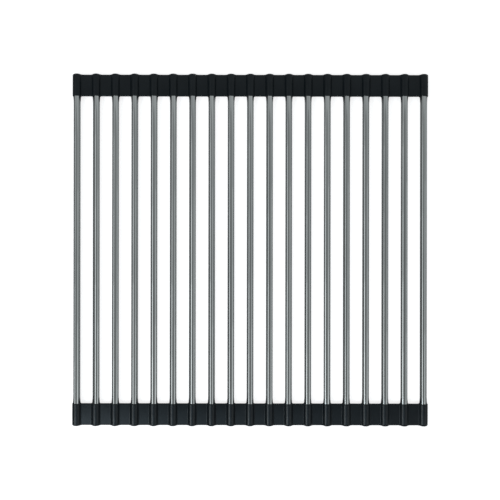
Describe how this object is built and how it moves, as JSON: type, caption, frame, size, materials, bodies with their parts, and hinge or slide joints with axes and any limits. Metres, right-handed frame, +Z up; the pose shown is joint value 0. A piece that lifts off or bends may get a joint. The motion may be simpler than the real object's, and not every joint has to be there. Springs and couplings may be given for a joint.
{
  "type": "roll-up over-sink drying rack",
  "caption": "Roll-up drying rack: round steel tubes held side by side by two flexible silicone end strips, laid flat over a sink and rolled up to store.",
  "frame": {"origin": "bottom centre of the rack laid flat, on the surface that the undersides of its sleeves rest on", "axes": "+Y along the tubes from the front strip to the rear strip, +X across the tubes from tube_01 to tube_19, +Z up out of the surface"},
  "size_m": [0.3692, 0.365, 0.009],
  "materials": {
    "steel_tube": "drawn stainless steel tube, satin along its length, bright where it catches the light",
    "silicone_strip": "matt to satin charcoal silicone"
  },
  "bodies": {
    "bar_01": {"tube_01": "steel_tube", "front_strip_01": "silicone_strip", "rear_strip_01": "silicone_strip"},
    "bar_02": {"tube_02": "steel_tube", "front_strip_02": "silicone_strip", "rear_strip_02": "silicone_strip"},
    "bar_03": {"tube_03": "steel_tube", "front_strip_03": "silicone_strip", "rear_strip_03": "silicone_strip"},
    "bar_04": {"tube_04": "steel_tube", "front_strip_04": "silicone_strip", "rear_strip_04": "silicone_strip"},
    "bar_05": {"tube_05": "steel_tube", "front_strip_05": "silicone_strip", "rear_strip_05": "silicone_strip"},
    "bar_06": {"tube_06": "steel_tube", "front_strip_06": "silicone_strip", "rear_strip_06": "silicone_strip"},
    "bar_07": {"tube_07": "steel_tube", "front_strip_07": "silicone_strip", "rear_strip_07": "silicone_strip"},
    "bar_08": {"tube_08": "steel_tube", "front_strip_08": "silicone_strip", "rear_strip_08": "silicone_strip"},
    "bar_09": {"tube_09": "steel_tube", "front_strip_09": "silicone_strip", "rear_strip_09": "silicone_strip"},
    "bar_10": {"tube_10": "steel_tube", "front_strip_10": "silicone_strip", "rear_strip_10": "silicone_strip"},
    "bar_11": {"tube_11": "steel_tube", "front_strip_11": "silicone_strip", "rear_strip_11": "silicone_strip"},
    "bar_12": {"tube_12": "steel_tube", "front_strip_12": "silicone_strip", "rear_strip_12": "silicone_strip"},
    "bar_13": {"tube_13": "steel_tube", "front_strip_13": "silicone_strip", "rear_strip_13": "silicone_strip"},
    "bar_14": {"tube_14": "steel_tube", "front_strip_14": "silicone_strip", "rear_strip_14": "silicone_strip"},
    "bar_15": {"tube_15": "steel_tube", "front_strip_15": "silicone_strip", "rear_strip_15": "silicone_strip"},
    "bar_16": {"tube_16": "steel_tube", "front_strip_16": "silicone_strip", "rear_strip_16": "silicone_strip"},
    "bar_17": {"tube_17": "steel_tube", "front_strip_17": "silicone_strip", "rear_strip_17": "silicone_strip"},
    "bar_18": {"tube_18": "steel_tube", "front_strip_18": "silicone_strip", "rear_strip_18": "silicone_strip"},
    "bar_19": {"tube_19": "steel_tube", "front_strip_19": "silicone_strip", "rear_strip_19": "silicone_strip"}
  },
  "joints": [
    {"name": "roll_up", "type": "hinge", "parent": "bar_19", "child": "bar_18", "pos_m": [0.17, 0, 0.0044], "axis": [0, 1, 0], "range_deg": [0, 32], "stiffness_Nm_per_rad": 0.02},
    {"name": "web_bend_17", "type": "hinge", "parent": "bar_18", "child": "bar_17", "pos_m": [0.15, 0, 0.0044], "axis": [0, 1, 0], "range_deg": [0, 32.84], "stiffness_Nm_per_rad": 0.02},
    {"name": "web_bend_16", "type": "hinge", "parent": "bar_17", "child": "bar_16", "pos_m": [0.13, 0, 0.0044], "axis": [0, 1, 0], "range_deg": [0, 33.74], "stiffness_Nm_per_rad": 0.02},
    {"name": "web_bend_15", "type": "hinge", "parent": "bar_16", "child": "bar_15", "pos_m": [0.11, 0, 0.0044], "axis": [0, 1, 0], "range_deg": [0, 34.7], "stiffness_Nm_per_rad": 0.02},
    {"name": "web_bend_14", "type": "hinge", "parent": "bar_15", "child": "bar_14", "pos_m": [0.09, 0, 0.0044], "axis": [0, 1, 0], "range_deg": [0, 35.75], "stiffness_Nm_per_rad": 0.02},
    {"name": "web_bend_13", "type": "hinge", "parent": "bar_14", "child": "bar_13", "pos_m": [0.07, 0, 0.0044], "axis": [0, 1, 0], "range_deg": [0, 36.91], "stiffness_Nm_per_rad": 0.02},
    {"name": "web_bend_12", "type": "hinge", "parent": "bar_13", "child": "bar_12", "pos_m": [0.05, 0, 0.0044], "axis": [0, 1, 0], "range_deg": [0, 38.19], "stiffness_Nm_per_rad": 0.02},
    {"name": "web_bend_11", "type": "hinge", "parent": "bar_12", "child": "bar_11", "pos_m": [0.03, 0, 0.0044], "axis": [0, 1, 0], "range_deg": [0, 39.63], "stiffness_Nm_per_rad": 0.02},
    {"name": "web_bend_10", "type": "hinge", "parent": "bar_11", "child": "bar_10", "pos_m": [0.01, 0, 0.0044], "axis": [0, 1, 0], "range_deg": [0, 41.23], "stiffness_Nm_per_rad": 0.02},
    {"name": "web_bend_09", "type": "hinge", "parent": "bar_10", "child": "bar_09", "pos_m": [-0.01, 0, 0.0044], "axis": [0, 1, 0], "range_deg": [0, 43.05], "stiffness_Nm_per_rad": 0.02},
    {"name": "web_bend_08", "type": "hinge", "parent": "bar_09", "child": "bar_08", "pos_m": [-0.03, 0, 0.0044], "axis": [0, 1, 0], "range_deg": [0, 45.16], "stiffness_Nm_per_rad": 0.02},
    {"name": "web_bend_07", "type": "hinge", "parent": "bar_08", "child": "bar_07", "pos_m": [-0.05, 0, 0.0044], "axis": [0, 1, 0], "range_deg": [0, 47.63], "stiffness_Nm_per_rad": 0.02},
    {"name": "web_bend_06", "type": "hinge", "parent": "bar_07", "child": "bar_06", "pos_m": [-0.07, 0, 0.0044], "axis": [0, 1, 0], "range_deg": [0, 50.51], "stiffness_Nm_per_rad": 0.02},
    {"name": "web_bend_05", "type": "hinge", "parent": "bar_06", "child": "bar_05", "pos_m": [-0.09, 0, 0.0044], "axis": [0, 1, 0], "range_deg": [0, 54.06], "stiffness_Nm_per_rad": 0.02},
    {"name": "web_bend_04", "type": "hinge", "parent": "bar_05", "child": "bar_04", "pos_m": [-0.11, 0, 0.0044], "axis": [0, 1, 0], "range_deg": [0, 58.47], "stiffness_Nm_per_rad": 0.02},
    {"name": "web_bend_03", "type": "hinge", "parent": "bar_04", "child": "bar_03", "pos_m": [-0.13, 0, 0.0044], "axis": [0, 1, 0], "range_deg": [0, 64.3], "stiffness_Nm_per_rad": 0.02},
    {"name": "web_bend_02", "type": "hinge", "parent": "bar_03", "child": "bar_02", "pos_m": [-0.15, 0, 0.0044], "axis": [0, 1, 0], "range_deg": [0, 72.46], "stiffness_Nm_per_rad": 0.02},
    {"name": "web_bend_01", "type": "hinge", "parent": "bar_02", "child": "bar_01", "pos_m": [-0.17, 0, 0.0044], "axis": [0, 1, 0], "range_deg": [0, 85.39], "stiffness_Nm_per_rad": 0.02}
  ],
  "couplings": [
    {"joint": "web_bend_17", "follows": "roll_up", "ratio": 1.026},
    {"joint": "web_bend_16", "follows": "roll_up", "ratio": 1.054},
    {"joint": "web_bend_15", "follows": "roll_up", "ratio": 1.084},
    {"joint": "web_bend_14", "follows": "roll_up", "ratio": 1.117},
    {"joint": "web_bend_13", "follows": "roll_up", "ratio": 1.153},
    {"joint": "web_bend_12", "follows": "roll_up", "ratio": 1.193},
    {"joint": "web_bend_11", "follows": "roll_up", "ratio": 1.238},
    {"joint": "web_bend_10", "follows": "roll_up", "ratio": 1.288},
    {"joint": "web_bend_09", "follows": "roll_up", "ratio": 1.345},
    {"joint": "web_bend_08", "follows": "roll_up", "ratio": 1.411},
    {"joint": "web_bend_07", "follows": "roll_up", "ratio": 1.488},
    {"joint": "web_bend_06", "follows": "roll_up", "ratio": 1.578},
    {"joint": "web_bend_05", "follows": "roll_up", "ratio": 1.689},
    {"joint": "web_bend_04", "follows": "roll_up", "ratio": 1.827},
    {"joint": "web_bend_03", "follows": "roll_up", "ratio": 2.009},
    {"joint": "web_bend_02", "follows": "roll_up", "ratio": 2.264},
    {"joint": "web_bend_01", "follows": "roll_up", "ratio": 2.668}
  ]
}
